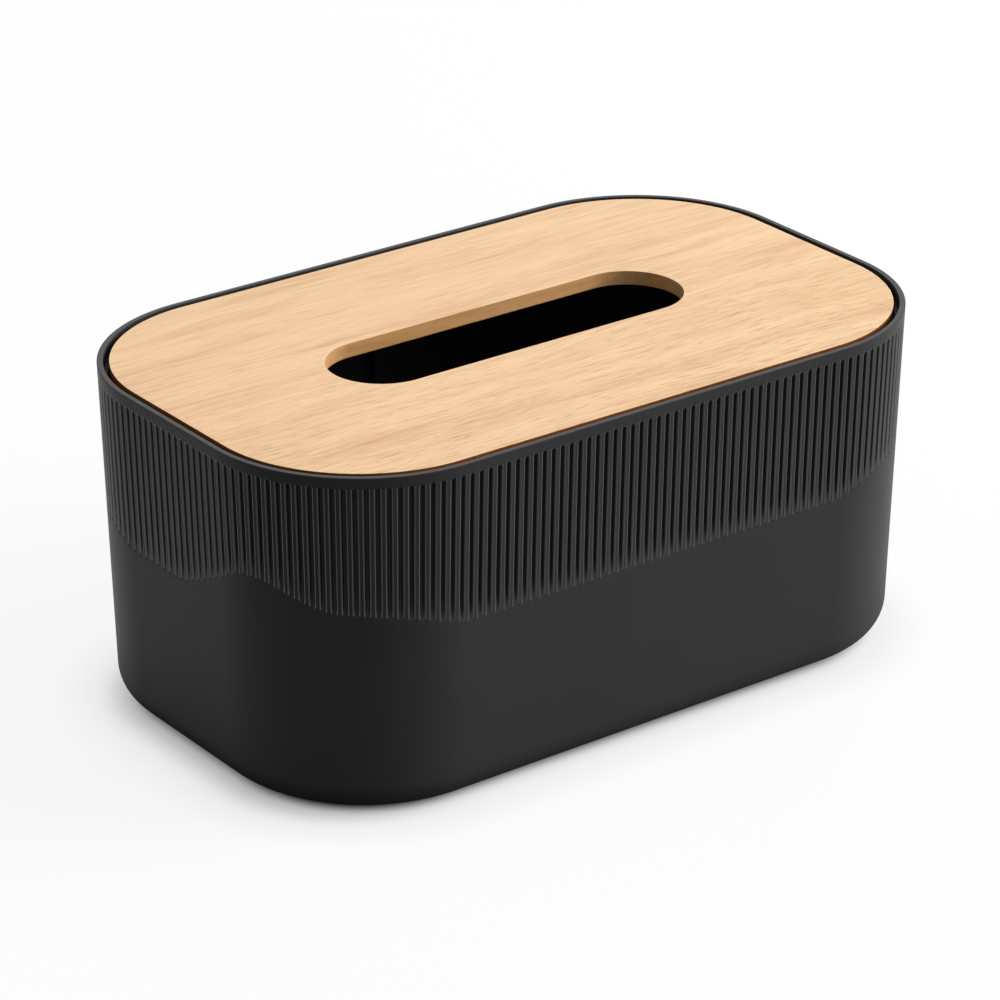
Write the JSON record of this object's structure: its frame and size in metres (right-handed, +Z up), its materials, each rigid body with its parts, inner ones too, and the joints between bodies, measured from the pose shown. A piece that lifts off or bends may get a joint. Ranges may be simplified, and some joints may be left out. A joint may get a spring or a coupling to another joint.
{
  "type": "tissue box",
  "caption": "Rounded plastic tissue box with a fluted band and a flush wooden lid that lifts off; tissues come out through the long slot in the lid.",
  "frame": {"origin": "on the surface that the box stands on, under the middle of the box", "axes": "+X along the long side, +Y from the front wall to the back wall, +Z up out of the lid"},
  "size_m": [0.26, 0.161, 0.1166],
  "materials": {
    "tub_plastic": "fine matt moulded texture, charcoal",
    "lid_wood": "light fine-grained wood, clear matt lacquer",
    "button_plastic": "black moulded",
    "pad_rubber": "matt black"
  },
  "bodies": {
    "tub": {"body_shell": "tub_plastic", "foot_pad_front_left": "pad_rubber", "foot_pad_front_right": "pad_rubber", "foot_pad_back_left": "pad_rubber", "foot_pad_back_right": "pad_rubber"},
    "lid": {"lid_board": "lid_wood", "lid_button_front_left": "button_plastic", "lid_button_front_right": "button_plastic", "lid_button_back_left": "button_plastic", "lid_button_back_right": "button_plastic"}
  },
  "joints": [
    {"name": "lid_lift", "type": "slide", "parent": "tub", "child": "lid", "axis": [0, 0, 1], "range_m": [0, 0.06]}
  ]
}
